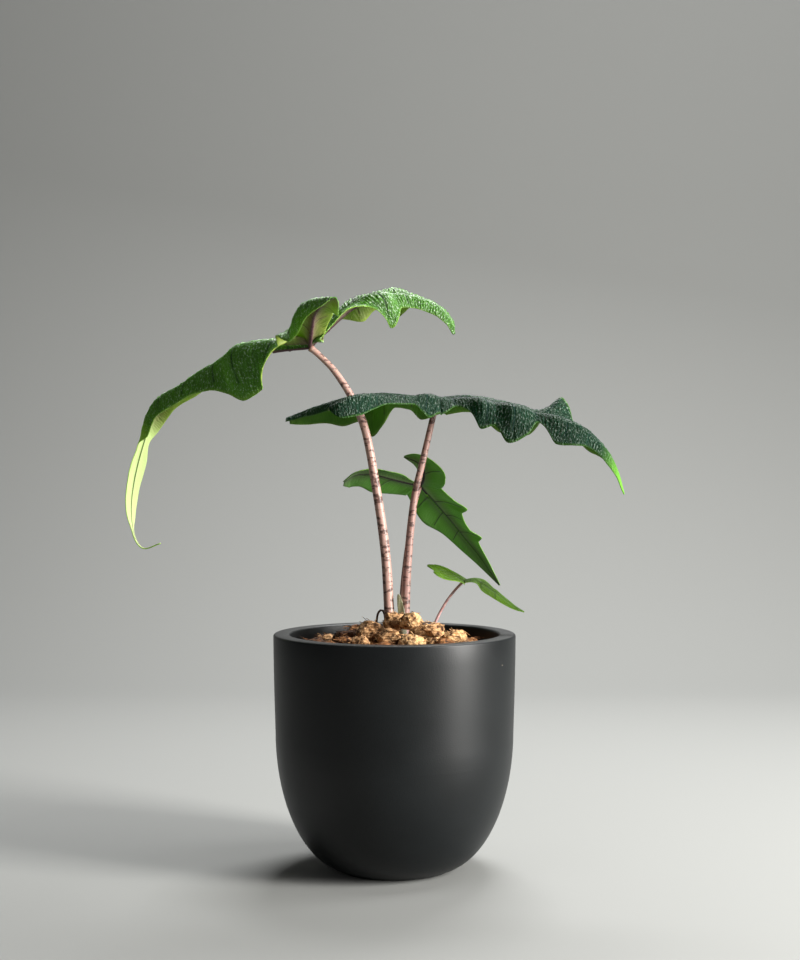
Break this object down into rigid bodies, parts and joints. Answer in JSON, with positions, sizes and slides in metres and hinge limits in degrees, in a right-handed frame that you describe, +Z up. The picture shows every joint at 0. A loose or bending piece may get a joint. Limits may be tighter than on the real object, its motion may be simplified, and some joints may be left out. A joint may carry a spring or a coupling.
{
  "type": "potted alocasia",
  "caption": "Small alocasia with long lobed leaves on mottled stalks, in a matt charcoal round-bottomed pot topped with coco husk chips.",
  "frame": {"origin": "middle of the pot's flat base, on the pot's axis", "axes": "+Z up along the pot's axis, +X to the right seen from the front, +Y to the back"},
  "size_m": [0.2356, 0.1179, 0.2654],
  "materials": {
    "pot_glaze": "satin",
    "fine_mix": "matte",
    "corm_skin": "matte",
    "stalk_skin": "satin",
    "leaf_mid_green": "satin",
    "leaf_blue_green": "satin",
    "leaf_young_green": "satin",
    "dry_sheath": "matte",
    "husk_dark": "matte",
    "husk_brown": "matte",
    "husk_tan": "matte",
    "husk_light": "matte"
  },
  "bodies": {
    "root": {"pot": "pot_glaze", "potting_mix": "fine_mix", "corm": "corm_skin", "petiole_1": "stalk_skin", "petiole_2": "stalk_skin", "petiole_3": "stalk_skin", "petiole_4": "stalk_skin", "blade_1": "leaf_mid_green", "blade_2": "leaf_blue_green", "blade_3": "leaf_mid_green", "blade_4": "leaf_young_green", "sheath": "dry_sheath", "root": "corm_skin", "husk_chip_01": "husk_dark", "husk_chip_02": "husk_dark", "husk_chip_03": "husk_brown", "husk_chip_04": "husk_dark", "husk_chip_05": "husk_brown", "husk_chip_06": "husk_tan", "husk_chip_07": "husk_tan", "husk_chip_08": "husk_tan", "husk_chip_09": "husk_brown", "husk_chip_10": "husk_light", "husk_chip_11": "husk_light", "husk_chip_12": "husk_dark", "husk_chip_13": "husk_brown", "husk_chip_14": "husk_light", "husk_chip_15": "husk_tan", "husk_chip_16": "husk_brown", "husk_chip_17": "husk_tan", "husk_chip_18": "husk_brown", "husk_chip_19": "husk_tan", "husk_chip_20": "husk_light", "husk_chip_21": "husk_dark", "husk_chip_22": "husk_dark", "husk_chip_23": "husk_tan", "husk_chip_24": "husk_light", "husk_chip_25": "husk_dark", "husk_chip_26": "husk_brown", "husk_chip_27": "husk_tan", "husk_chip_28": "husk_brown", "husk_chip_29": "husk_light", "husk_chip_30": "husk_tan", "husk_chip_31": "husk_dark", "husk_chip_32": "husk_brown", "husk_chip_33": "husk_dark", "husk_chip_34": "husk_tan", "husk_chip_35": "husk_tan"}
  },
  "joints": []
}
